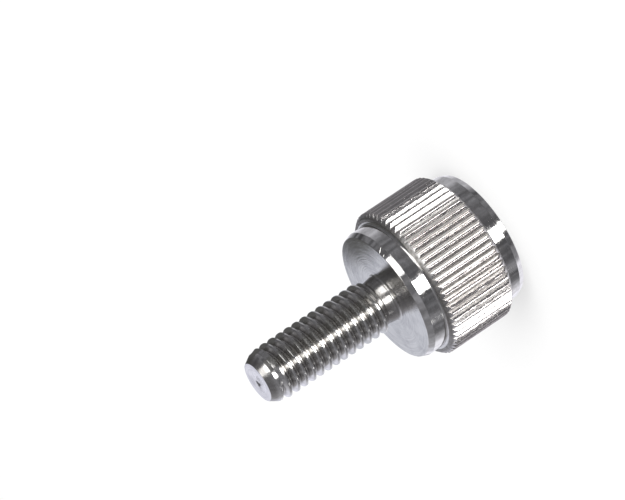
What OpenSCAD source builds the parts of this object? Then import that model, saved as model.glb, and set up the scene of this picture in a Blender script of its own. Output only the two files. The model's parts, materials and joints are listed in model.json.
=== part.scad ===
// Knurled thumb screw, turned from one bar: a straight-knurled head between two plain
// collars, and a threaded shank. It stands on its flat head, with the shank straight up.
// Z = 0 is the flat top face of the head, and the Z axis is the axis of the screw.

/* [Head] */
// Height of the head, from its flat top face to the seating face under it
head_h = 12.2; // [11:0.1:16]
// How far both plain collars lie below the knurl crests
collar_step = 1.05; // [0.6:0.05:2]
// Length of the collar at the flat top face
top_collar_h = 2.1; // [1.2:0.05:2.5]
// Length of the collar beside the seating face
under_collar_h = 2.25; // [1.2:0.05:2.6]
// Fillet radius where a collar meets the knurled band
collar_fillet = 0.2; // [0.1:0.05:0.3]
// How far the bevel on each end face runs in from the collar
bevel_w = 0.25; // [0.1:0.05:0.6]
// How far the bevel on each end face runs along the collar
bevel_h = 0.65; // [0.2:0.05:0.8]

/* [Knurl] */
// Diameter over the crests of the straight knurl
knurl_d = 16.5; // [16:0.1:20]
// Number of knurl teeth
knurl_count = 64; // [40:1:80]
// Depth of the knurl grooves
knurl_depth = 0.45; // [0.2:0.05:0.5]
// How far the chamfer at each end of the knurl runs in past the groove bottoms
chamfer_margin = 0.05; // [0.02:0.01:0.1]
// Width of the land left on each crest
knurl_land = 0.2; // [0.1:0.02:0.3]

/* [Shank] */
// Length of the shank, from the seating face to the tip
shank_l = 16; // [6:0.5:40]
// Diameter over the thread crests, for M6
thread_d = 5.9; // [5.5:0.05:6]
// How far the neck beside the seating face lies below the thread crests
neck_depth = 0.55; // [0.4:0.05:0.8]
// Length of the plain part of the neck, between its fillet and the thread's run-out cone
neck_plain_l = 0.15; // [0.05:0.05:1]
// How far the neck's fillet reaches past the thread crests on the seating face
crest_clearance = 0.05; // [0.02:0.01:0.3]
// Width of the 45 degree chamfer at the tip
tip_chamfer = 0.76; // [0.4:0.02:1.2]

/* [Centre marks] */
// Diameter of the shallow turning mark in the flat top face
top_mark_d = 1.4; // [0.8:0.1:3]
// Depth of the turning mark in the flat top face
top_mark_depth = 0.15; // [0.05:0.05:0.3]
// Diameter of the shallow turning mark in the tip
tip_mark_d = 0.9; // [0.5:0.1:1.5]
// Depth of the turning mark in the tip
tip_mark_depth = 0.1; // [0.05:0.05:0.2]

/* [Hidden] */
nickel = [0.78, 0.77, 0.75];
$fn = 96;
arc_steps = 6;
// Levels up the axis
tip_z = head_h + shank_l;
top_shoulder_z = top_collar_h;
under_shoulder_z = head_h - under_collar_h;
// Radii
crest_r = knurl_d / 2;
root_r = crest_r - knurl_depth;
knurl_chamfer = knurl_depth + chamfer_margin;
shoulder_r = crest_r - knurl_chamfer;
collar_r = crest_r - collar_step;
face_r = collar_r - bevel_w;
thread_r = thread_d / 2;
neck_r = thread_r - neck_depth;
tip_r = thread_r - tip_chamfer;
// The neck's fillet, plain part and 45 degree run-out cone follow each other
neck_fillet = neck_depth + crest_clearance;
run_out_z = head_h + neck_fillet + neck_plain_l;
thread_start_z = run_out_z + neck_depth;
// The groove flanks meet above the land, at this radius
tooth_angle = 360 / knurl_count;
tooth_pitch = PI * knurl_d / knurl_count;
peak_r = root_r + knurl_depth * tooth_pitch / (tooth_pitch - knurl_land);

// Points of a quarter turn about (r, z), from one angle to the other
function arc(r, z, radius, from, to) =
    [for (i = [0:arc_steps])
        let (t = from + (to - from) * i / arc_steps)
        [r + radius * cos(t), z + radius * sin(t)]];

// Half section of the turned blank, as [radius, height], from the top face to the tip
head_section = concat(
    [[0, top_mark_depth], [top_mark_d / 2, 0], [face_r, 0], [collar_r, bevel_h]],
    arc(collar_r + collar_fillet, top_shoulder_z - collar_fillet, collar_fillet, 180, 90),
    [[shoulder_r, top_shoulder_z], [crest_r, top_shoulder_z + knurl_chamfer]],
    [[crest_r, under_shoulder_z - knurl_chamfer], [shoulder_r, under_shoulder_z]],
    arc(collar_r + collar_fillet, under_shoulder_z + collar_fillet, collar_fillet, 270, 180),
    [[collar_r, head_h - bevel_h], [face_r, head_h]]);

shank_section = concat(
    arc(neck_r + neck_fillet, head_h + neck_fillet, neck_fillet, 270, 180),
    [[neck_r, run_out_z], [thread_r, thread_start_z]],
    [[thread_r, tip_z - tip_chamfer], [tip_r, tip_z]],
    [[tip_mark_d / 2, tip_z], [0, tip_z - tip_mark_depth]]);

// The bar turned to its section, with the knurled band still a plain cylinder
module turned_blank() {
    rotate_extrude() polygon(concat(head_section, shank_section));
}

// Outline of the straight knurl: one peak and one groove for each tooth, from a peak on +X
module knurl_outline() {
    polygon([for (i = [0:knurl_count - 1], side = [0, 1])
        let (r = side == 0 ? peak_r : root_r, t = (i + side / 2) * tooth_angle)
        [r * cos(t), r * sin(t)]]);
}

// The finished screw: the grooves reach only the knurled band, as all else is narrower
module thumb_screw() {
    color(nickel) intersection() {
        turned_blank();
        linear_extrude(tip_z) knurl_outline();
    }
}

thumb_screw();
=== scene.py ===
import json
import math

import bpy
from mathutils import Matrix, Vector


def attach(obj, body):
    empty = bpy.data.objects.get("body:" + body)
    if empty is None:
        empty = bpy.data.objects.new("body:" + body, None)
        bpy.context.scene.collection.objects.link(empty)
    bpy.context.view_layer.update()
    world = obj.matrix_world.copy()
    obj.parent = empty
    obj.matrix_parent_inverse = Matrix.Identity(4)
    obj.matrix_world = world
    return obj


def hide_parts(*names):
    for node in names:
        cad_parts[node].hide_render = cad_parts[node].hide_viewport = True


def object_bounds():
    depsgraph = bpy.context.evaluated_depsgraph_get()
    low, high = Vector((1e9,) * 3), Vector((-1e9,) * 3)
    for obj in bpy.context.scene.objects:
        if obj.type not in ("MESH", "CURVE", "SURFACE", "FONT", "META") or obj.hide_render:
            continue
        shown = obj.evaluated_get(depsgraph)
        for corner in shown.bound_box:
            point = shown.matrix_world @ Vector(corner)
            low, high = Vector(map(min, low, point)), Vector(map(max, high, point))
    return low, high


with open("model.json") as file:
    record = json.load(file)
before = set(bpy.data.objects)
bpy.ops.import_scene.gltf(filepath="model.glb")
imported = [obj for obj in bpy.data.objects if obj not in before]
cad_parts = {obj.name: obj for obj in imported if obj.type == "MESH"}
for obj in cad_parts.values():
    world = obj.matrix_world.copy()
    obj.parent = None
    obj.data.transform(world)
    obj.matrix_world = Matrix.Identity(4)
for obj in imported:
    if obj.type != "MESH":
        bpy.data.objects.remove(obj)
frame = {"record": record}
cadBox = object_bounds()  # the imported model's box, before anything is added
mounts = {mount["name"]: mount for mount in frame["record"]["mounts"]}
mm = 0.001
micrometre = 0.001 * mm

# Driving sizes, in metres: the first four are read from the frame, the rest are the turner's.
screw = dict(
    crestRadius=cadBox[1].x,
    length=cadBox[1].z,
    headHeight=mounts["seating_face"]["pos_m"][2],
    threadRadius=mounts["thread"]["dims"]["r_mm"] * mm,
    collarRadius=7.2 * mm,
    faceRadius=6.95 * mm,
    faceStrip=0.12 * mm,  # this much of a face is turned with the side; a flat ring fills the rest
)
seat = Vector((0, 0, screw["headHeight"]))
upward = Vector((0, 0, 1))
print("frame loaded: head", round(screw["headHeight"] / mm, 2), "mm high, whole screw",
      round(screw["length"] / mm, 2), "mm")


class Field:
    # A node socket that stands in plain sums: each operation adds one Math node to its tree.
    def __init__(self, tree, socket):
        self.tree = tree
        self.socket = socket

    def __add__(self, other):
        return calc(self.tree, "ADD", self, other)

    def __radd__(self, other):
        return calc(self.tree, "ADD", other, self)

    def __sub__(self, other):
        return calc(self.tree, "SUBTRACT", self, other)

    def __rsub__(self, other):
        return calc(self.tree, "SUBTRACT", other, self)

    def __mul__(self, other):
        return calc(self.tree, "MULTIPLY", self, other)

    def __truediv__(self, other):
        return calc(self.tree, "DIVIDE", self, other)

    def __rtruediv__(self, other):
        return calc(self.tree, "DIVIDE", other, self)

    def __mod__(self, other):
        return calc(self.tree, "FLOORED_MODULO", self, other)


def feed(tree, socket, value):
    # Links a socket or field to an input, or sets the input to a plain value.
    if isinstance(value, Field):
        value = value.socket
    if isinstance(value, bpy.types.NodeSocket):
        tree.links.new(value, socket)
    elif value is not None:
        socket.default_value = value


def addNode(tree, kind, values=None, **settings):
    node = tree.nodes.new(kind)
    for name, value in settings.items():
        setattr(node, name, value)
    for name, value in (values or {}).items():
        feed(tree, node.inputs[name], value)
    return node


def calc(tree, operation, *values):
    node = addNode(tree, "ShaderNodeMath", operation=operation)
    for socket, value in zip(node.inputs, values):
        feed(tree, socket, value)
    return Field(tree, node.outputs[0])


def clamp(tree, value, low, high):
    return calc(tree, "MAXIMUM", calc(tree, "MINIMUM", value, high), low)


def stepUp(tree, value, low, high):
    # 0 below low, 1 above high, smooth between them
    node = addNode(tree, "ShaderNodeMapRange", {"Value": value, "From Min": low, "From Max": high},
                   interpolation_type="SMOOTHSTEP")
    return Field(tree, node.outputs[0])


def combine(tree, x, y, z):
    node = addNode(tree, "ShaderNodeCombineXYZ", {"X": x, "Y": y, "Z": z})
    return node.outputs[0]


def separate(tree, vector):
    node = addNode(tree, "ShaderNodeSeparateXYZ", {"Vector": vector})
    return [Field(tree, socket) for socket in node.outputs]


def fromAxis(tree, place):
    # x, y and z, with the distance from the axis
    x, y, z = separate(tree, place)
    return x, y, z, calc(tree, "SQRT", x * x + y * y)


def noise(tree, vector, scale=1.0, detail=2.0, roughness=0.5):
    node = addNode(tree, "ShaderNodeTexNoise",
                   {"Vector": vector, "Scale": scale, "Detail": detail, "Roughness": roughness})
    return Field(tree, node.outputs[0])


def newTree(name, kind, inputs, outputs=(("Geometry", "Geometry"),)):
    tree = bpy.data.node_groups.new(name, kind)
    for way, sockets in (("INPUT", inputs), ("OUTPUT", outputs)):
        for socketName, socketKind, *start in sockets:
            socket = tree.interface.new_socket(socketName, in_out=way,
                                               socket_type="NodeSocket" + socketKind)
            if start:
                socket.default_value = start[0]
    entry = tree.nodes.new("NodeGroupInput")
    leave = tree.nodes.new("NodeGroupOutput")
    given = {socket.name: Field(tree, socket) for socket in entry.outputs if socket.name}
    return tree, given, leave


def floats(*names):
    return [(name, "Float") for name in names]


def placeGroup(tree, group, values):
    kind = "GeometryNodeGroup" if tree.bl_idname == "GeometryNodeTree" else "ShaderNodeGroup"
    return addNode(tree, kind, values, node_tree=group)


def setInput(modifier, name, value):
    # by the socket's identifier, before the object is first evaluated
    for item in modifier.node_group.interface.items_tree:
        if item.item_type == "SOCKET" and item.in_out == "INPUT" and item.name == name:
            modifier[item.identifier] = value


def compass(azimuth, elevation):
    # a direction, from angles in degrees: azimuth 0 is -Y and 90 is -X
    turn, rise = math.radians(azimuth), math.radians(elevation)
    level = math.cos(rise)
    return Vector((-math.sin(turn) * level, -math.cos(turn) * level, math.sin(rise)))


def addObject(name, data):
    thing = bpy.data.objects.new(name, data)
    bpy.context.scene.collection.objects.link(thing)
    return thing


def lay(thing, place, right, top, back):
    # puts an object at a place, with its X, Y and Z along these three directions
    axes = Matrix((right, top, back)).transposed().to_4x4()
    thing.matrix_world = Matrix.Translation(place) @ axes


def roundedLine(corners, hold=0.03 * mm, turn=17):
    # Points along straight stretches. Each corner (x, y, rounding) becomes an arc of that radius,
    # with a point for each turn in degrees. One more point, hold outside each end of the arc,
    # keeps the flats beside it flat to the eye.
    points = []
    for number, (x, y, rounding) in enumerate(corners):
        here = Vector((x, y))
        if not rounding:
            points.append(here)
            continue
        before = (Vector(corners[number - 1][:2]) - here).normalized()
        after = (Vector(corners[number + 1][:2]) - here).normalized()
        half = before.angle(after) / 2
        centre = here + (before + after).normalized() * (rounding / math.sin(half))
        reach = rounding / math.tan(half)
        start = here + before * reach
        end = here + after * reach
        steps = max(2, round((180 - math.degrees(half * 2)) / turn))
        points.append(start + before * hold)
        for step in range(steps + 1):
            spoke = (start - centre).slerp(end - centre, step / steps)
            points.append(centre + spoke.normalized() * rounding)
        points.append(end + after * hold)
    return points


def split(start, end, rows):
    # rows - 1 points between two corners
    (x, y), (toX, toY) = start, end
    return [(x + (toX - x) * k / rows, y + (toY - y) * k / rows, 0) for k in range(1, rows)]


def dish(radius, depth, rows):
    # the section of a shallow dish from its middle to its rim, as (radius, depth)
    return [(radius * k / rows, depth * (1 - (k / rows) ** 2)) for k in range(rows + 1)]


def wireObject(name, points):
    # A wire whose points are read by the trees; it goes once the screw is made.
    mesh = bpy.data.meshes.new(name)
    edges = [(number, number + 1) for number in range(len(points) - 1)]
    mesh.from_pydata([(point[0], 0, point[1]) for point in points], edges, [])
    return addObject(name, mesh)


collar = dict(
    bevelHeight=0.65 * mm,
    rimRounding=0.07 * mm,
    edgeRounding=0.1 * mm,
    fillet=0.198 * mm,
    flatFrom=0.25 * mm,  # out from the collar to the shoulder's flat ring
    columns=192,
)
topCollar = dict(height=2.1 * mm)
underCollar = dict(height=2.25 * mm)
knurl = dict(
    teeth=64,
    rootRadius=7.8 * mm,
    shoulderRadius=7.75 * mm,
    lip=0.05 * mm,  # a narrow flat inside the shoulder, where the teeth's uneven points even out
    rounding=0.12 * mm,
    rows=12,
    seed=7,
    wander=0.03 * mm,
    toothShare=0.6,  # how much of the wander is the whole tooth's, and how much its lumps'
    lumpShare=1.6,
    lumpsAround=3600,  # to the metre
    lumpsAlong=1500,
    # one tooth: place across the pitch and height above the root, both as shares;
    # two straight flanks, with a crest that leans to one side
    tooth=[(-0.5, 0.12), (-0.46, 0.125), (-0.42, 0.155), (-0.385, 0.21), (-0.19, 0.66),
           (-0.13, 0.8), (-0.1, 0.87), (-0.075, 0.925), (-0.055, 0.96), (-0.03, 0.985),
           (0.0, 0.998), (0.035, 1.0), (0.075, 0.985), (0.12, 0.95), (0.16, 0.905),
           (0.195, 0.845), (0.28, 0.642), (0.37, 0.427), (0.455, 0.225), (0.48, 0.16)],
    seamAt=0.12,  # the leaning side of the crest has a shallow seam along it
    seamWidth=0.05,
    seamDepth=0.06,
)
thread = dict(
    pitch=1.0 * mm,
    rootRadius=2.4 * mm,
    crestFlat=0.22 * mm,
    tipSideRounding=0.15 * mm,
    seatSideRounding=0.03 * mm,
    rootRounding=0.05 * mm,
    flankAngle=math.radians(30),
    crestAt=0.235 * mm,  # a crest stands this far above a whole turn from the seat, at -Y
    columns=96,
    runOut=1.3 * mm,  # from the seat
    firstGroove=14.8 * mm,  # from the seat
    fade=0.3 * mm,
    softening=0.02 * mm,  # where the groove meets the run-out and the land
)
neck = dict(
    rootRadius=2.53 * mm,
    endRadius=2.37 * mm,
    fillet=0.2 * mm,
    flatFrom=0.25 * mm,  # out from the neck to the seating face's flat ring
    straight=0.35 * mm,
    bendRounding=0.1 * mm,
    height=1.2 * mm,
)
# heights down from the end face; the land behind the chamfer is steeper past its waist
tip = dict(
    faceRadius=2.19 * mm,
    faceRounding=0.04 * mm,
    chamferHeight=0.86 * mm,
    chamferRadius=2.72 * mm,
    chamferRounding=0.05 * mm,
    height=0.92 * mm,
    waistHeight=1.22 * mm,
    waistRadius=2.77 * mm,
    landHeight=1.5 * mm,
    landRadius=2.87 * mm,
)
mark = dict(topRadius=0.7 * mm, topDepth=0.15 * mm, topRows=5,
            tipRadius=0.5 * mm, tipDepth=0.16 * mm, tipRows=4, columns=96)


def widening(start, end):
    # of the tip, from one of its heights to the next
    wider = tip[end + "Radius"] - tip[start + "Radius"]
    return wider / (tip[end + "Height"] - tip[start + "Height"])


# where the stretches of the screw meet
meeting = dict(
    faceRadius=screw["faceRadius"] - screw["faceStrip"],
    flatRadius=screw["collarRadius"] + collar["flatFrom"],
    shoulderLow=topCollar["height"],
    shoulderHigh=screw["headHeight"] - underCollar["height"],
    lipRadius=knurl["shoulderRadius"] - knurl["lip"],
    chamfer=screw["crestRadius"] - knurl["shoulderRadius"],
    neckRadius=neck["rootRadius"] + neck["flatFrom"],
    topSlope=widening("chamfer", "waist"),
    waistSlope=widening("waist", "land"),
)
belowChamfer = tip["height"] - tip["chamferHeight"]
meeting["tipRadius"] = tip["chamferRadius"] + belowChamfer * meeting["topSlope"]


def gridTree():
    # A sheet of rows by columns that knows its row and column; the forms bend it into place.
    tree, given, leave = newTree("rowsAndColumns", "GeometryNodeTree", [
        ("Rows", "Int"), ("Columns", "Int")], [("Mesh", "Geometry"), *floats("Row", "Column")])
    rows = given["Rows"]
    sheet = addNode(tree, "GeometryNodeMeshGrid",
                    {"Vertices X": given["Columns"], "Vertices Y": rows})
    index = Field(tree, addNode(tree, "GeometryNodeInputIndex").outputs[0])
    column = calc(tree, "FLOOR", (index + 0.5) / rows)
    keep = addNode(tree, "GeometryNodeCaptureAttribute", {"Geometry": sheet.outputs["Mesh"]},
                   domain="POINT")
    for name, value in (("Row", index - column * rows), ("Column", column)):
        keep.capture_items.new("FLOAT", name)
        feed(tree, keep.inputs[name], value)
    for socket, kept in (("Mesh", "Geometry"), ("Row", "Row"), ("Column", "Column")):
        feed(tree, leave.inputs[socket], keep.outputs[kept])
    return tree


def readLine(tree, wire, index):
    # x and z of a wire's point, by its number
    at = addNode(tree, "GeometryNodeInputPosition")
    read = addNode(tree, "GeometryNodeSampleIndex",
                   {"Geometry": wire, "Value": at.outputs[0], "Index": index},
                   data_type="FLOAT_VECTOR", domain="POINT")
    return separate(tree, read.outputs["Value"])[::2]


def countPoints(tree, wire):
    size = addNode(tree, "GeometryNodeAttributeDomainSize", {"Geometry": wire}, component="MESH")
    return Field(tree, size.outputs["Point Count"])


def wirePoints(tree, wire):
    info = addNode(tree, "GeometryNodeObjectInfo", {"Object": wire}, transform_space="ORIGINAL")
    return info.outputs["Geometry"]


def bendRound(tree, sheet, leave, radius, angle, height):
    # bends a sheet round the axis and hands it out
    x, y = radius * calc(tree, "COSINE", angle), radius * calc(tree, "SINE", angle)
    moved = addNode(tree, "GeometryNodeSetPosition", {
        "Geometry": sheet.outputs["Mesh"], "Position": combine(tree, x, y, height)})
    feed(tree, leave.inputs[0], moved.outputs[0])


def turnedTree(grid):
    # A plain turned form: the section wire carried round the axis.
    tree, given, leave = newTree("turnedForm", "GeometryNodeTree", [
        ("Section", "Object"), ("Columns", "Int", 96)])
    wire = wirePoints(tree, given["Section"])
    columns = given["Columns"]
    sheet = placeGroup(tree, grid, {"Rows": countPoints(tree, wire), "Columns": columns + 1})
    radius, height = readLine(tree, wire, sheet.outputs["Row"])
    angle = Field(tree, sheet.outputs["Column"]) / columns * math.tau
    bendRound(tree, sheet, leave, radius, angle, height)
    return tree


def knurledTree(grid):
    # The knurled band: the section wire carried round, and drawn in to the outline of the teeth.
    tree, given, leave = newTree("knurledForm", "GeometryNodeTree", [
        ("Section", "Object"), ("Tooth", "Object"), ("Teeth", "Int", 64), ("Seed", "Int", 1),
        *floats("Root Radius", "Crest Radius", "Shoulder Radius", "Lip", "Middle", "Half Length",
                "Seam At", "Seam Width", "Seam Depth", "Wander")])
    section = wirePoints(tree, given["Section"])
    tooth = wirePoints(tree, given["Tooth"])
    perTooth = countPoints(tree, tooth)
    teeth = given["Teeth"]
    columns = perTooth * teeth
    sheet = placeGroup(tree, grid, {"Rows": countPoints(tree, section), "Columns": columns + 1})
    column = Field(tree, sheet.outputs["Column"]) % columns
    number = calc(tree, "FLOOR", (column + 0.5) / perTooth)
    across, lift = readLine(tree, tooth, column - number * perTooth)
    bodyRadius, bodyHeight = readLine(tree, section, sheet.outputs["Row"])
    root, crest, shoulder = given["Root Radius"], given["Crest Radius"], given["Shoulder Radius"]

    def chance(shift):
        # one number from 0 to 1 for each tooth
        pick = addNode(tree, "FunctionNodeRandomValue", {"ID": number}, data_type="FLOAT")
        feed(tree, pick.inputs["Seed"], given["Seed"] + shift)
        return Field(tree, pick.outputs[1])

    angle = (number + across) / teeth * math.tau
    # the flanks carry small lumps that run along them
    around = knurl["lumpsAround"]
    onBand = combine(tree, crest * calc(tree, "COSINE", angle) * around,
                     crest * calc(tree, "SINE", angle) * around, bodyHeight * knurl["lumpsAlong"])
    lump = calc(tree, "ABSOLUTE", noise(tree, onBand) - 0.5)
    # the seam is plain on some teeth and faint on others
    nearSeam = calc(tree, "ABSOLUTE", across - given["Seam At"])
    seam = (1.0 - stepUp(tree, nearSeam, 0.0, given["Seam Width"])) * given["Seam Depth"]
    seam = seam * stepUp(tree, chance(1) + lump * 1.5, 0.15, 0.9)
    # star is the radius of the teeth; their roots wander less than their crests
    star = root + (crest - root) * (lift - seam)
    uneven = chance(0) * knurl["toothShare"] + lump * knurl["lumpShare"]
    star = star - uneven * given["Wander"] * (lift * 0.8 + 0.2)
    # rise is 0 at the shoulder and 1 on the band; the chamfer keeps its slope on every tooth
    rise = calc(tree, "MAXIMUM", bodyRadius - shoulder, 0.0) / (crest - shoulder)
    radius = calc(tree, "MINIMUM", bodyRadius, shoulder) + rise * (star - shoulder)
    side = clamp(tree, (given["Middle"] - bodyHeight) / given["Half Length"], -1.0, 1.0)
    height = bodyHeight - rise * side * (crest - star)
    # the inner edge of the lip has evenly spaced points, which the flat ring beside it shares
    evenAngle = (column - calc(tree, "FLOOR", perTooth / 2)) / columns * math.tau
    onTeeth = clamp(tree, 1.0 - (shoulder - bodyRadius) / given["Lip"], 0.0, 1.0)
    angle = evenAngle + (angle - evenAngle) * onTeeth
    bendRound(tree, sheet, leave, radius, angle, height)
    return tree


def threadedTree(grid):
    # The thread: rows follow the helix, so that crest, flanks and root are each clean lines.
    tree, given, leave = newTree("threadedForm", "GeometryNodeTree", [
        ("Profile", "Object"), ("Columns", "Int", 96),
        *floats("Pitch", "Crest Radius", "Bottom", "Top", "Neck Radius", "Run Out", "Top Radius",
                "Top Slope", "Waist Radius", "Waist Height", "Waist Slope", "Crest At",
                "First Groove", "Fade", "Softening")])
    profile = wirePoints(tree, given["Profile"])
    perPitch = countPoints(tree, profile)
    pitch, bottom, top = given["Pitch"], given["Bottom"], given["Top"]
    # the helix starts below the bottom and ends above the top, and is flattened on to them
    turns = calc(tree, "CEIL", (top - bottom) / pitch) + 3
    sheet = placeGroup(tree, grid, {"Rows": turns * perPitch + 1, "Columns": given["Columns"] + 1})
    row = Field(tree, sheet.outputs["Row"])
    turn = calc(tree, "FLOOR", (row + 0.5) / perPitch)
    along, lift = readLine(tree, profile, row - turn * perPitch)
    # around goes from 0 to 1, anticlockwise from +X
    around = Field(tree, sheet.outputs["Column"]) / given["Columns"]
    base = calc(tree, "FLOOR", bottom / pitch - 1.5)
    # each pitch runs from crest to crest, and its groove passes -Y, three quarters round,
    # half a pitch above the crest
    grooveHeight = (base + turn + around - 0.25) * pitch + given["Crest At"]
    height = clamp(tree, grooveHeight + along, bottom, top)
    # the first groove fades in behind the tip
    share = stepUp(tree, given["First Groove"] - grooveHeight, 0.0, given["Fade"])
    grooved = given["Crest Radius"] - lift * share
    runOutCone = given["Neck Radius"] + calc(tree, "MAXIMUM", height - given["Run Out"], 0.0)
    land = calc(tree, "MAXIMUM", given["Top Radius"] + (top - height) * given["Top Slope"],
                given["Waist Radius"] + (given["Waist Height"] - height) * given["Waist Slope"])
    hull = calc(tree, "MINIMUM", runOutCone, land)
    radius = calc(tree, "SMOOTH_MIN", hull, grooved, given["Softening"])
    angle = around * math.tau
    bendRound(tree, sheet, leave, radius, angle, height)
    return tree


def ringTree():
    # A flat ring between two circles of different counts.
    tree, given, leave = newTree("flatRing", "GeometryNodeTree", [
        ("Outer Columns", "Int"), ("Inner Columns", "Int"), ("Face Down", "Bool"),
        *floats("Outer Radius", "Inner Radius", "Height")])
    circles = tree.nodes.new("GeometryNodeJoinGeometry")
    for which in ("Outer", "Inner"):
        circle = addNode(tree, "GeometryNodeCurvePrimitiveCircle", {
            "Resolution": given[which + " Columns"], "Radius": given[which + " Radius"],
        }, mode="RADIUS")
        feed(tree, circles.inputs[0], circle.outputs["Curve"])
    fill = addNode(tree, "GeometryNodeFillCurve", {"Curve": circles.outputs[0]}, mode="TRIANGLES")
    upTo = combine(tree, 0.0, 0.0, given["Height"])
    raised = addNode(tree, "GeometryNodeTransform",
                     {"Geometry": fill.outputs[0], "Translation": upTo})
    turned = addNode(tree, "GeometryNodeFlipFaces", {"Mesh": raised.outputs[0]})
    choose = addNode(tree, "GeometryNodeSwitch", {
        "Switch": given["Face Down"], "False": raised.outputs[0], "True": turned.outputs[0],
    }, input_type="GEOMETRY")
    feed(tree, leave.inputs[0], choose.outputs[0])
    return tree


def makeOutlines():
    # The section of each stretch of the screw, from corners of (radius, height, rounding).
    faceR, faceInnerR = screw["faceRadius"], meeting["faceRadius"]
    collarR, flatR, crestR = screw["collarRadius"], meeting["flatRadius"], screw["crestRadius"]
    shoulderR, lipR = knurl["shoulderRadius"], meeting["lipRadius"]
    headH, tipZ = screw["headHeight"], screw["length"]
    low, high = meeting["shoulderLow"], meeting["shoulderHigh"]
    lowEnd = (crestR, low + meeting["chamfer"])
    highEnd = (crestR, high - meeting["chamfer"])
    deep = screw["threadRadius"] - thread["rootRadius"]
    flank = deep * math.tan(thread["flankAngle"])
    half = thread["pitch"] / 2
    edge = half - thread["crestFlat"] / 2
    lines = dict(
        topCollarLine=roundedLine([
            (faceInnerR, 0, 0),
            (faceR, 0, collar["rimRounding"]),
            (collarR, collar["bevelHeight"], collar["edgeRounding"]),
            (collarR, low, collar["fillet"]),
            (flatR, low, 0),
        ]),
        underCollarLine=roundedLine([
            (flatR, high, 0),
            (collarR, high, collar["fillet"]),
            (collarR, headH - collar["bevelHeight"], collar["edgeRounding"]),
            (faceR, headH, collar["rimRounding"]),
            (faceInnerR, headH, 0),
        ]),
        bandLine=roundedLine([
            (lipR, low, 0),
            (shoulderR, low, 0),
            (*lowEnd, knurl["rounding"]),
            *split(lowEnd, highEnd, knurl["rows"]),
            (*highEnd, knurl["rounding"]),
            (shoulderR, high, 0),
            (lipR, high, 0),
        ]),
        toothLine=knurl["tooth"],
        # one pitch, as (height, depth); its last point is the next pitch's first
        threadLine=roundedLine([
            (-half, 0, 0),
            (-edge, 0, thread["tipSideRounding"]),
            (-edge + flank, deep, thread["rootRounding"]),
            (edge - flank, deep, thread["rootRounding"]),
            (edge, 0, thread["seatSideRounding"]),
            (half, 0, 0),
        ], hold=0.02 * mm, turn=20)[:-1],
        neckLine=roundedLine([
            (meeting["neckRadius"], headH, 0),
            (neck["rootRadius"], headH, neck["fillet"]),
            (neck["rootRadius"], headH + neck["straight"], neck["bendRounding"]),
            (neck["endRadius"], headH + neck["height"], 0),
        ]),
        tipLine=roundedLine([
            (meeting["tipRadius"], tipZ - tip["height"], 0),
            (tip["chamferRadius"], tipZ - tip["chamferHeight"], tip["chamferRounding"]),
            (tip["faceRadius"], tipZ, tip["faceRounding"]),
            (tip["faceRadius"] - screw["faceStrip"], tipZ, 0),
            (mark["tipRadius"], tipZ, 0),
        ]),
        topMarkLine=dish(mark["topRadius"], mark["topDepth"], mark["topRows"]),
    )
    tipMark = dish(mark["tipRadius"], mark["tipDepth"], mark["tipRows"])
    lines["tipLine"] += [(radius, tipZ - depth) for radius, depth in reversed(tipMark[:-1])]
    return lines


def storeFinish(tree, geometry, number, selection=None):
    # the finish number goes with the faces, and Set Material reads it at the end
    store = addNode(tree, "GeometryNodeStoreNamedAttribute", {
        "Geometry": geometry, "Name": "finish", "Selection": selection, "Value": number,
    }, data_type="INT", domain="FACE")
    return store.outputs[0]


def paintFinishes(tree, geometry, finishes):
    stored = addNode(tree, "GeometryNodeInputNamedAttribute", {"Name": "finish"}, data_type="INT")
    for number, material in enumerate(finishes.values()):
        same = addNode(tree, "FunctionNodeCompare", data_type="INT", operation="EQUAL")
        whole = [socket for socket in same.inputs if socket.type == "INT"]
        feed(tree, whole[0], stored.outputs[0])
        feed(tree, whole[1], number)
        paint = addNode(tree, "GeometryNodeSetMaterial",
                        {"Geometry": geometry, "Selection": same.outputs[0], "Material": material})
        geometry = paint.outputs[0]
    return geometry


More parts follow.
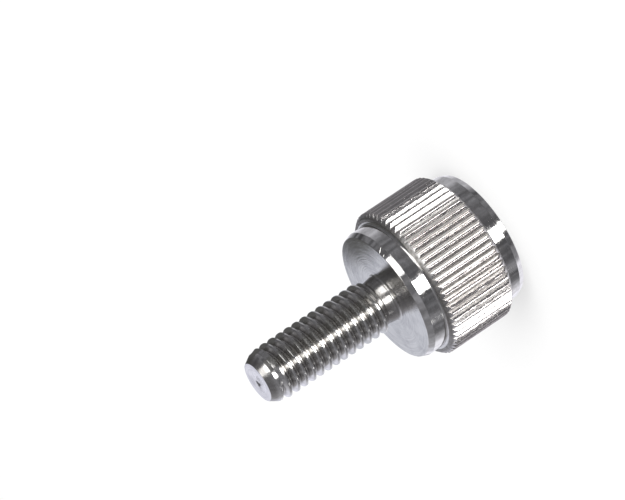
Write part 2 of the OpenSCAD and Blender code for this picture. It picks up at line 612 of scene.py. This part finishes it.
def screwTree(wires, finishes):
    # The whole screw: its stretches, the flat rings between them, and a finish for each.
    grid = gridTree()
    turned, knurled = turnedTree(grid), knurledTree(grid)
    threaded, ring = threadedTree(grid), ringTree()
    tree, given, leave = newTree("thumbScrewForm", "GeometryNodeTree", [
        ("Geometry", "Geometry"), ("Teeth", "Int", 64), ("Seed", "Int", 1),
        ("Collar Columns", "Int", 192), ("Shank Columns", "Int", 96), ("Mark Columns", "Int", 96),
        *floats("Tooth Wander", "Pitch"), ("Fold Angle", "Float", 35.0)])
    collars, shank, marks = given["Collar Columns"], given["Shank Columns"], given["Mark Columns"]
    headH, tipZ = screw["headHeight"], screw["length"]
    low, high = meeting["shoulderLow"], meeting["shoulderHigh"]
    finishNumber = {name: number for number, name in enumerate(finishes)}
    parts = tree.nodes.new("GeometryNodeJoinGeometry")

    def addPart(finish, group, values):
        part = placeGroup(tree, group, values)
        feed(tree, parts.inputs[0], storeFinish(tree, part.outputs[0], finishNumber[finish]))

    for finish, wire, columns in (
        ("polished", "topCollarLine", collars),
        ("polished", "underCollarLine", collars),
        ("threaded", "neckLine", shank),
        ("threaded", "tipLine", shank),
        ("faced", "topMarkLine", marks),
    ):
        addPart(finish, turned, {"Section": wires[wire], "Columns": columns})
    addPart("knurled", knurled, {
        "Section": wires["bandLine"], "Tooth": wires["toothLine"], "Teeth": given["Teeth"],
        "Root Radius": knurl["rootRadius"], "Crest Radius": screw["crestRadius"],
        "Shoulder Radius": knurl["shoulderRadius"], "Lip": knurl["lip"], "Middle": (low + high) / 2,
        "Half Length": (high - low) / 2 - meeting["chamfer"], "Seam At": knurl["seamAt"],
        "Seam Width": knurl["seamWidth"], "Seam Depth": knurl["seamDepth"], "Seed": given["Seed"],
        "Wander": given["Tooth Wander"]})
    addPart("threaded", threaded, {
        "Profile": wires["threadLine"], "Columns": shank, "Pitch": given["Pitch"],
        "Crest Radius": screw["threadRadius"], "Bottom": headH + neck["height"],
        "Top": tipZ - tip["height"], "Neck Radius": neck["endRadius"],
        "Run Out": headH + thread["runOut"], "Top Radius": meeting["tipRadius"],
        "Top Slope": meeting["topSlope"], "Waist Radius": tip["waistRadius"],
        "Waist Height": tipZ - tip["waistHeight"], "Waist Slope": meeting["waistSlope"],
        "Crest At": thread["crestAt"] + headH % thread["pitch"],
        "First Groove": headH + thread["firstGroove"], "Fade": thread["fade"],
        "Softening": thread["softening"]})
    band = given["Teeth"] * len(knurl["tooth"])
    for finish, outerR, outerColumns, innerR, innerColumns, height, down in (
        ("knurled", meeting["lipRadius"], band, meeting["flatRadius"], collars, low, True),
        ("knurled", meeting["lipRadius"], band, meeting["flatRadius"], collars, high, False),
        ("faced", meeting["faceRadius"], collars, meeting["neckRadius"], shank, headH, False),
        ("faced", meeting["faceRadius"], collars, mark["topRadius"], marks, 0.0, True),
    ):
        addPart(finish, ring, {
            "Outer Radius": outerR, "Outer Columns": outerColumns, "Inner Radius": innerR,
            "Inner Columns": innerColumns, "Height": height, "Face Down": down})

    whole = addNode(tree, "GeometryNodeMergeByDistance",
                    {"Geometry": parts.outputs[0], "Distance": 0.0002 * mm})
    smooth = addNode(tree, "GeometryNodeSetShadeSmooth", {"Geometry": whole.outputs[0]},
                     domain="FACE")
    fold = Field(tree, addNode(tree, "GeometryNodeInputMeshEdgeAngle").outputs["Unsigned Angle"])
    isFold = calc(tree, "GREATER_THAN", fold, calc(tree, "RADIANS", given["Fold Angle"]))
    sharp = addNode(tree, "GeometryNodeSetShadeSmooth",
                    {"Geometry": smooth.outputs[0], "Selection": isFold, "Shade Smooth": False},
                    domain="EDGE")
    # the end face of the tip, from just under its mark to just inside its rounded edge, is faced
    height, radius = fromAxis(tree, addNode(tree, "GeometryNodeInputPosition").outputs[0])[2:]
    onTip = calc(tree, "GREATER_THAN", height, tipZ - mark["tipDepth"] - 0.01 * mm)
    inside = calc(tree, "LESS_THAN", radius, tip["faceRadius"] - 0.02 * mm)
    tipped = storeFinish(tree, sharp.outputs[0], finishNumber["faced"], onTip * inside)
    solid = addNode(tree, "GeometryNodeRealizeInstances", {"Geometry": tipped})
    feed(tree, leave.inputs[0], paintFinishes(tree, solid.outputs[0], finishes))
    return tree


def makeScrew(finishes):
    wires = {name: wireObject(name, points) for name, points in makeOutlines().items()}
    blank = addObject("thumbScrewBlank", bpy.data.meshes.new("thumbScrewBlank"))
    maker = blank.modifiers.new("thumbScrewForm", "NODES")
    maker.node_group = screwTree(wires, finishes)
    settings = {
        "Teeth": knurl["teeth"], "Tooth Wander": knurl["wander"], "Seed": knurl["seed"],
        "Pitch": thread["pitch"], "Collar Columns": collar["columns"],
        "Shank Columns": thread["columns"], "Mark Columns": mark["columns"]}
    for name, value in settings.items():
        setInput(maker, name, value)
    evaluated = blank.evaluated_get(bpy.context.evaluated_depsgraph_get())
    mesh = bpy.data.meshes.new_from_object(evaluated)
    mesh.name = "thumbScrewBody"
    made = addObject("thumbScrewBody", mesh)
    for helper in (blank, *wires.values()):
        bpy.data.objects.remove(helper)
    return made


def onObject(tree):
    return addNode(tree, "ShaderNodeTexCoord").outputs["Object"]


def onPiece(tree):
    # the place on the piece, in millimetres
    return addNode(tree, "ShaderNodeVectorMath", {"Vector": onObject(tree), "Scale": 1 / mm},
                   operation="SCALE").outputs[0]


def newPattern(name, inputs, output="Mask"):
    return newTree(name, "ShaderNodeTree", inputs, floats(output))


def turnedLinesGroup():
    # Rings left by the lathe tool: they follow the radius on a face and the height on a barrel.
    tree, given, leave = newPattern("turnedLines", [
        ("Lines", "Float", 8.0), ("Break Up", "Float", 2.0)], "Height")
    x, y, z, radius = fromAxis(tree, onPiece(tree))
    inverse = given["Break Up"] / (radius + 0.05)
    place = combine(tree, (radius + z) * given["Lines"], x * inverse, y * inverse)
    feed(tree, leave.inputs["Height"], noise(tree, place, detail=3.0, roughness=0.65))
    return tree


def scratchesGroup():
    # Fine long scratches that cross each other, broken into stretches.
    tree, given, leave = newPattern("handlingScratches", [
        ("Spacing", "Float", 1.0), ("Amount", "Float", 1.0)])
    place = onPiece(tree)
    strokes = []
    for turn, shift in (((0.5, 0.9, 0.2), 0.0), ((1.3, -0.4, 1.1), 7.0)):
        laid = addNode(tree, "ShaderNodeMapping", {"Vector": place, "Location": (shift, shift, 0),
                                                   "Rotation": turn, "Scale": (0.35, 2.6, 2.6)})
        stripes = noise(tree, laid.outputs[0], scale=given["Spacing"], detail=1.0)
        lines = 1.0 - stepUp(tree, calc(tree, "ABSOLUTE", stripes - 0.5), 0.0, 0.012)
        broken = noise(tree, place, scale=0.8 + shift * 0.02, detail=1.0)
        strokes.append(lines * stepUp(tree, broken, 0.48, 0.62))
    feed(tree, leave.inputs["Mask"], calc(tree, "MAXIMUM", *strokes) * given["Amount"])
    return tree


def smudgesGroup():
    # Cloudy patches where the polish is a little dimmer.
    tree, given, leave = newPattern("smudges", [("Size", "Float", 1.0)])
    cloud = noise(tree, onPiece(tree), scale=0.9 / given["Size"], detail=4.0, roughness=0.6)
    feed(tree, leave.inputs["Mask"], stepUp(tree, cloud, 0.42, 0.68))
    return tree


def grimeAndShadeGroup():
    # Dull film that stays in grooves, with painted shade darkening them: 1 at the inner radius, 0
    # at the outer one, in millimetres.
    tree, given, leave = newPattern("grooveGrime", [
        ("Inner", "Float", 7.8), ("Outer", "Float", 8.0)])
    x, y, z, radius = fromAxis(tree, onPiece(tree))
    deep = 1.0 - stepUp(tree, radius, given["Inner"], given["Outer"])
    patchy = noise(tree, combine(tree, x, y, z * 0.5), scale=3.0, detail=3.0)
    feed(tree, leave.inputs["Mask"], deep * (patchy * 0.8 + 0.55))
    return tree


def nickGroup():
    # One small dent, an oval round a place in millimetres.
    tree, given, leave = newPattern("nick", [
        ("Place", "Vector"), ("Turn", "Vector"), ("Size", "Vector", (1, 1, 1))])
    away = addNode(tree, "ShaderNodeMapping", {"Vector": onPiece(tree), "Location": given["Place"],
                                               "Rotation": given["Turn"], "Scale": given["Size"]},
                   vector_type="TEXTURE")
    length = addNode(tree, "ShaderNodeVectorMath", {"Vector": away.outputs[0]}, operation="LENGTH")
    reach = Field(tree, length.outputs["Value"])
    feed(tree, leave.inputs["Mask"], 1.0 - stepUp(tree, reach, 0.2, 1.0))
    return tree


nickel = dict(
    bright=(0.78, 0.77, 0.75, 1),
    dull=(0.62, 0.605, 0.585, 1),
    cream=(0.75, 0.7, 0.675, 1),
    flank=(0.73, 0.72, 0.71, 1),
    # the dark colour of grime and painted shade in the grooves
    grime=(0.2, 0.185, 0.17, 1),
    tooled=(0.47, 0.465, 0.475, 1),
    # roughness of each surface where it is cleanest
    polishedRoughness=0.05,
    facedRoughness=0.09,
    knurledRoughness=0.11,
    threadedRoughness=0.11,
    # height of its fine relief, in micrometres
    polishedRelief=1.6,
    facedRelief=14.0,
    knurledRelief=20.0,
    threadedRelief=9.0,
    # the collar's nicks, in millimetres: azimuth, radius, distance below the seat, turn and size
    nicks=[
        (-35.5, 7.08, 0.33, (0.0, 0.7, -2.9), (0.11, 0.11, 0.6)),
        (-29.5, 7.02, 0.14, (0.0, 0.8, -2.9), (0.09, 0.09, 0.2)),
        (12.0, 7.2, 0.75, (0.0, 0.0, 0.2), (0.22, 0.1, 0.08)),
        (38.0, 7.2, 1.2, (0.0, 0.6, 0.7), (0.16, 0.1, 0.4)),
        (150.0, 7.12, 0.4, (0.3, 0.4, 0.4), (0.1, 0.1, 0.4)),
    ],
)


def mixColour(tree, share, first, second):
    node = addNode(tree, "ShaderNodeMix", data_type="RGBA")
    inputs = {socket.identifier: socket for socket in node.inputs}
    feed(tree, inputs["Factor_Float"], share)
    feed(tree, inputs["A_Color"], first)
    feed(tree, inputs["B_Color"], second)
    return next(socket for socket in node.outputs if socket.identifier == "Result_Color")


def effect(tree, group, values):
    return Field(tree, placeGroup(tree, group, values).outputs[0])


def newNickel(name):
    material = bpy.data.materials.new(name)
    material.use_nodes = True
    shader = material.node_tree.nodes["Principled BSDF"]
    shader.inputs["Metallic"].default_value = 1.0
    return material, material.node_tree, shader


def coat(tree, shader, colour, roughness, height, relief):
    # height is a pattern, and relief is how many micrometres stand for 1 in it
    bump = addNode(tree, "ShaderNodeBump",
                   {"Height": height, "Strength": 1.0, "Distance": relief * micrometre})
    feed(tree, shader.inputs["Base Color"], colour)
    feed(tree, shader.inputs["Roughness"], roughness)
    feed(tree, shader.inputs["Normal"], bump.outputs[0])


def polishedNickel(groups):
    # collars and bevels
    material, tree, shader = newNickel("polishedNickel")
    smudge = effect(tree, groups["smudges"], {"Size": 0.8})
    scratch = effect(tree, groups["scratches"], {"Spacing": 1.0, "Amount": 0.6})
    turning = effect(tree, groups["lines"], {"Lines": 9.0, "Break Up": 2.5})
    seatHeight = screw["headHeight"] / mm
    dents = sum(effect(tree, groups["nick"], {
        "Place": compass(azimuth, 0) * radius + Vector((0, 0, seatHeight - down)),
        "Turn": turn, "Size": size}) for azimuth, radius, down, turn, size in nickel["nicks"])
    wave = noise(tree, onPiece(tree), scale=1.1, detail=1.0)
    coat(tree, shader,
         mixColour(tree, smudge, nickel["bright"], nickel["dull"]),
         nickel["polishedRoughness"] + smudge * 0.09 + scratch * 0.15 + turning * 0.03,
         wave * 7.0 + turning - dents * 14.0 - scratch * 0.4, nickel["polishedRelief"])
    return material


def facedNickel(groups):
    # the seating face, the top face and the tip's end
    material, tree, shader = newNickel("facedNickel")
    smudge = effect(tree, groups["smudges"], {"Size": 1.8})
    scratch = effect(tree, groups["scratches"], {"Spacing": 0.8, "Amount": 0.5})
    turning = effect(tree, groups["lines"], {"Lines": 5.0, "Break Up": 1.2})
    fine = effect(tree, groups["lines"], {"Lines": 16.0, "Break Up": 3.0})
    toolShare = smudge * 0.45 + stepUp(tree, turning, 0.35, 0.75) * 0.5
    height = separate(tree, onPiece(tree))[2]
    depth = 1.0 - stepUp(tree, height, 20.0, 21.0) * 0.6  # the tip's small face is cut more finely
    coat(tree, shader,
         mixColour(tree, toolShare, nickel["bright"], nickel["tooled"]),
         nickel["facedRoughness"] + smudge * 0.05 + fine * 0.08 + scratch * 0.12,
         (turning * 1.6 + fine * 0.3 - scratch * 0.1) * depth, nickel["facedRelief"])
    return material


def knurledNickel(groups):
    # warmer on the rolled crests, with grime and painted shade darkening the grooves
    material, tree, shader = newNickel("knurledNickel")
    x, y, z, radius = fromAxis(tree, onPiece(tree))
    # grime and painted shade in the grooves between the teeth, darkest at the root
    grooveDirtAndShade = effect(tree, groups["grime"], {"Inner": 7.82, "Outer": 8.13})
    run = noise(tree, combine(tree, x * 5.0, y * 5.0, z * 1.6), detail=4.0, roughness=0.65)
    fine = noise(tree, combine(tree, x * 13.0, y * 13.0, z * 2.2), detail=2.0)
    crest = stepUp(tree, radius, 7.96, 8.16)
    # the flanks are burnished and the crest is left rough: across is the place in the tooth's pitch
    across = (calc(tree, "ARCTAN2", y, x) * (knurl["teeth"] / math.tau) + 0.5) % 1.0 - 0.5
    roughCrest = stepUp(tree, across, -0.07, 0.0) * (1.0 - stepUp(tree, across, 0.17, 0.25))
    metal = mixColour(tree, crest * 0.8, nickel["flank"], nickel["cream"])
    metal = mixColour(tree, stepUp(tree, run, 0.5, 0.75) * 0.45, metal, nickel["dull"])
    roughRun = stepUp(tree, run, 0.4, 0.75) * 0.08
    coat(tree, shader,
         mixColour(tree, grooveDirtAndShade * 0.75, metal, nickel["grime"]),
         nickel["knurledRoughness"] + roughCrest * 0.09 + roughRun + grooveDirtAndShade * 0.3,
         run + fine * (roughCrest * 0.3 + 0.15), nickel["knurledRelief"])
    return material


def threadedNickel(groups):
    # the neck, the thread and the tip's sides, with grime and painted shade darkening the roots
    material, tree, shader = newNickel("threadedNickel")
    x, y, z = separate(tree, onPiece(tree))
    # grime and painted shade in the thread's roots, darkest at the root
    grooveDirtAndShade = effect(tree, groups["grime"], {"Inner": 2.42, "Outer": 2.72})
    smudge = effect(tree, groups["smudges"], {"Size": 0.7})
    scratch = effect(tree, groups["scratches"], {"Spacing": 1.6, "Amount": 0.6})
    drag = noise(tree, combine(tree, x * 3.0, y * 3.0, z * 7.0), detail=4.0, roughness=0.6)
    metal = mixColour(tree, smudge * 0.6 + 0.2, nickel["bright"], nickel["dull"])
    coat(tree, shader,
         mixColour(tree, grooveDirtAndShade * 0.6, metal, nickel["grime"]),
         nickel["threadedRoughness"] + smudge * 0.08 + grooveDirtAndShade * 0.1 + scratch * 0.1,
         drag, nickel["threadedRelief"])
    return material


def makeFinishes():
    groups = dict(lines=turnedLinesGroup(), scratches=scratchesGroup(), smudges=smudgesGroup(),
                  grime=grimeAndShadeGroup(), nick=nickGroup())
    return dict(polished=polishedNickel(groups), faced=facedNickel(groups),
                knurled=knurledNickel(groups), threaded=threadedNickel(groups))


view = dict(
    distance=0.3999,
    elevation=19.62,
    roll=-123.33,
    lens=230.4,
    sensor=36,
    clipStart=0.01,
    aim=(7.98 * mm, 1.13 * mm, 3.18 * mm),  # from the seat's centre
)


def setCamera():
    camera = addObject("camera", bpy.data.cameras.new("camera"))
    place = seat + compass(0, view["elevation"]) * view["distance"]
    ahead = (seat + Vector(view["aim"]) - place).normalized()
    level = ahead.cross(upward).normalized()
    roll = math.radians(view["roll"])
    right = level * math.cos(roll) + level.cross(ahead) * math.sin(roll)
    lay(camera, place, right, right.cross(ahead), -ahead)
    camera.data.lens = view["lens"]
    camera.data.sensor_width = view["sensor"]
    camera.data.clip_start = view["clipStart"]
    bpy.context.scene.camera = camera


floor = dict(radius=3, drop=0.01 * mm, paint=(0.9, 0.9, 0.9, 1), fade=(0.06, 0.3))


def emptyMaterial(name):
    material = bpy.data.materials.new(name)
    material.use_nodes = True
    material.node_tree.nodes.clear()
    return material, material.node_tree


def mixShaders(tree, share, first, second):
    mix = addNode(tree, "ShaderNodeMixShader")
    for socket, value in zip(mix.inputs, (share, first.outputs[0], second.outputs[0])):
        feed(tree, socket, value)
    return mix


def putOn(thing, material, shader):
    addNode(material.node_tree, "ShaderNodeOutputMaterial", {"Surface": shader.outputs[0]})
    thing.data.materials.append(material)


def setFloor():
    bpy.ops.mesh.primitive_circle_add(vertices=96, radius=floor["radius"], fill_type="NGON",
                                      location=(0, 0, cadBox[0].z - floor["drop"]))
    disc = bpy.context.object
    disc.name = "floor"
    material, tree = emptyMaterial("floorWhite")
    paint = addNode(tree, "ShaderNodeBsdfDiffuse", {"Color": floor["paint"]})
    glow = addNode(tree, "ShaderNodeEmission", {"Color": (1, 1, 1, 1), "Strength": 1.0})
    path = addNode(tree, "ShaderNodeLightPath")
    seen = calc(tree, "MAXIMUM", Field(tree, path.outputs["Is Camera Ray"]),
                calc(tree, "MAXIMUM", Field(tree, path.outputs["Is Glossy Ray"]),
                     Field(tree, path.outputs["Is Transmission Ray"])))
    # near the screw half of it is paint, which takes the shadow; far out it is plain white
    farOut = stepUp(tree, fromAxis(tree, onObject(tree))[3], *floor["fade"])
    mix = mixShaders(tree, seen * (farOut * 0.5 + 0.5), paint, glow)
    putOn(disc, material, mix)
    disc.visible_glossy = False
    disc.visible_shadow = False


def setWorld():
    world = bpy.data.worlds.new("studio")
    world.use_nodes = True
    back = world.node_tree.nodes["Background"]
    back.inputs["Color"].default_value = (1, 1, 1, 1)
    back.inputs["Strength"].default_value = 1.0
    bpy.context.scene.world = world


def onlyInReflections(thing):
    thing.visible_camera = False
    thing.visible_diffuse = False
    thing.visible_shadow = False
    thing.visible_transmission = False


def glowMaterial(name):
    material, tree = emptyMaterial(name)
    material.cycles.emission_sampling = "NONE"
    return material, tree, addNode(tree, "ShaderNodeEmission", {"Strength": 1.0})


def asColour(tone):
    # a tone is a grey from 0 to 1, or a red, green and blue
    return (*tone, 1) if isinstance(tone, tuple) else (tone, tone, tone, 1)


room = dict(
    radius=1.9,
    # tones round the room, by azimuth in degrees
    low=[(-180, 0.95), (-168, 0.85), (-152, 0.62), (-138, 0.4), (-125, 0.42), (-112, 0.46),
         (-104, 0.36), (-96, 0.17), (-88, 0.09), (-30, 0.1), (40, 0.075), (68, 0.09), (73, 0.23),
         (85, 0.23), (90, 0.09), (97, 0.1), (104, 0.16), (112, 0.28), (120, 0.4), (128, 0.48),
         (136, 0.62), (144, 0.8), (152, 1.0), (160, 1.0), (164, 0.15), (171, 0.15), (175, 0.95)],
    high=[(-180, (0.8, 0.81, 0.86)), (-173, (0.8, 0.81, 0.86)), (-165, 0.12), (-150, 0.07),
          (-95, 0.06), (-71, 0.09), (-20, 0.11), (8, 0.15), (79, 0.18), (108, 0.26), (129, 0.45),
          (145, (0.66, 0.67, 0.7)), (160, (0.8, 0.81, 0.86))],
    overhead=0.085,
    underfoot=0.1,
    # the elevations over which one tone gives way to the next
    lowToHigh=(-15, -4),
    highToOverhead=(44, 60),
    lowToUnderfoot=(48, 66),  # downwards
    # the lit table top lies round this direction: azimuth, elevation
    table=(150, -48),
    tableTone=(0.95, 0.95, 0.96),
    tableEdge=(0.76, 0.9),  # cosine of the angle from that direction
    mottle=0.15,
    mottleScale=6.5,
    mottleEdge=(0.34, 0.7),
    blueCast=1.08,
)


def toneRamp(tree, share, stops):
    ramp = addNode(tree, "ShaderNodeValToRGB", {"Fac": share})
    elements = ramp.color_ramp.elements
    while len(elements) > 1:
        elements.remove(elements[-1])
    for number, (azimuth, tone) in enumerate(stops + [(180, stops[0][1])]):
        place = azimuth / 360 + 0.5
        element = elements[0] if number == 0 else elements.new(place)
        element.position = place
        element.color = asColour(tone)
    return ramp.outputs["Color"]


def setRoom():
    # The studio's walls, seen only in the metal: dark round the front, pale behind.
    bpy.ops.mesh.primitive_uv_sphere_add(segments=64, ring_count=32, radius=room["radius"],
                                         location=seat)
    walls = bpy.context.object
    walls.name = "roomWalls"
    material, tree, glow = glowMaterial("roomTones")
    unit = addNode(tree, "ShaderNodeVectorMath", {"Vector": onObject(tree)},
                   operation="NORMALIZE").outputs[0]
    x, y, z = separate(tree, unit)
    azimuth = calc(tree, "ARCTAN2", x * -1, y * -1) / math.tau + 0.5
    elevation = calc(tree, "DEGREES", calc(tree, "ARCSINE", z))
    tone = mixColour(tree, stepUp(tree, elevation, *room["lowToHigh"]),
                     toneRamp(tree, azimuth, room["low"]), toneRamp(tree, azimuth, room["high"]))
    toTable = compass(*room["table"])
    nearTable = x * toTable.x + y * toTable.y + z * toTable.z
    for share, colour in (
        (stepUp(tree, elevation, *room["highToOverhead"]), room["overhead"]),
        (stepUp(tree, elevation * -1, *room["lowToUnderfoot"]), room["underfoot"]),
        (stepUp(tree, nearTable, *room["tableEdge"]), room["tableTone"]),
    ):
        tone = mixColour(tree, share, tone, asColour(colour))
    cloud = noise(tree, unit, scale=room["mottleScale"], detail=2.0, roughness=0.6)
    shade = stepUp(tree, cloud, *room["mottleEdge"]) * room["mottle"]
    red, green, blue = separate(tree, tone)
    feed(tree, glow.inputs["Color"],
         combine(tree, red + shade, green + shade, (blue + shade) * room["blueCast"]))
    putOn(walls, material, glow)
    onlyInReflections(walls)


# strength is a lamp's brightness where 1 is white; size is its width and height
lamps = [
    dict(name="keyBox", azimuth=14.3, elevation=-10.5, size=(0.37, 0.79), strength=7.2),
    dict(name="keyFoot", azimuth=13.5, elevation=-50, size=(0.21, 0.7), strength=2.3),
    # the gap between these two keeps the flat faces from whiting out in views from behind
    dict(name="upperBox", azimuth=-33.6, elevation=18, size=(0.604, 1.8), strength=2.3, shift=0.91),
    dict(name="lowerBox", azimuth=-36, elevation=-0.5, size=(0.604, 0.28), strength=2.9),
    dict(name="sideSpot", azimuth=78, elevation=-13, size=(0.1, 0.2), strength=1.6),
]
# distance is from the axis; across is a card's sideways stretch, and along is its stretch up
# from the seat
cards = [
    dict(name="hazeFlag", azimuth=180, distance=12.5 * mm, across=(-12 * mm, 12 * mm),
         along=(-2 * mm, 10 * mm), tone=(0.69, 0.71, 0.79), soft=1 * mm),
    dict(name="farFlag", azimuth=180, distance=12 * mm, across=(-30 * mm, -3.0 * mm),
         along=(1.5 * mm, 26 * mm), tone=0.11, soft=3 * mm),
    dict(name="nearFlag", azimuth=-33, distance=4.2 * mm, across=(-2.3 * mm, 0.8 * mm),
         along=(1.5 * mm, 15.4 * mm), tone=0.1, soft=0.2 * mm),
]


def softbox(name, azimuth, elevation, size, strength, shift=0.0):
    # An area lamp that faces the screw from a metre away, or from shift above that place.
    ahead = compass(azimuth, elevation)
    top = (upward - ahead * upward.dot(ahead)).normalized()
    lamp = bpy.data.lights.new(name, "AREA")
    lamp.shape = "RECTANGLE"
    lamp.size, lamp.size_y = size
    lamp.energy = strength * math.pi * size[0] * size[1]
    box = addObject(name, lamp)
    lay(box, seat + ahead + top * shift, top.cross(ahead), top, ahead)
    box.visible_camera = False


def standCard(name, azimuth, distance, across, along, tone, soft):
    # A card beside the screw with soft edges, seen only in the metal.
    mesh = bpy.data.meshes.new(name)
    corners = [(across[i], 0, along[j]) for i, j in ((0, 0), (1, 0), (1, 1), (0, 1))]
    mesh.from_pydata(corners, [], [(0, 1, 2, 3)])
    card = addObject(name, mesh)
    back = compass(azimuth, 0) * -1
    lay(card, back * -distance + seat, back.cross(upward), back, upward)
    material, tree, glow = glowMaterial(name)
    glow.inputs["Color"].default_value = asColour(tone)
    x, z = separate(tree, onObject(tree))[::2]
    mask = (stepUp(tree, x, across[0], across[0] + soft) * stepUp(tree, across[1] - x, 0, soft)
            * stepUp(tree, z, along[0], along[0] + soft) * stepUp(tree, along[1] - z, 0, soft))
    mix = mixShaders(tree, mask, addNode(tree, "ShaderNodeBsdfTransparent"), glow)
    putOn(card, material, mix)
    onlyInReflections(card)


def setLights():
    for lamp in lamps:
        softbox(**lamp)
    for card in cards:
        standCard(**card)


body = makeScrew(makeFinishes())
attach(body, "root")
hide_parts("thumb_screw")
print("screw made:", len(body.data.vertices), "points,",
      sum(len(face.vertices) - 2 for face in body.data.polygons), "triangles")
setCamera()
setFloor()
setWorld()
setRoom()
setLights()
bpy.context.scene.view_settings.view_transform = "Standard"
print("studio set")
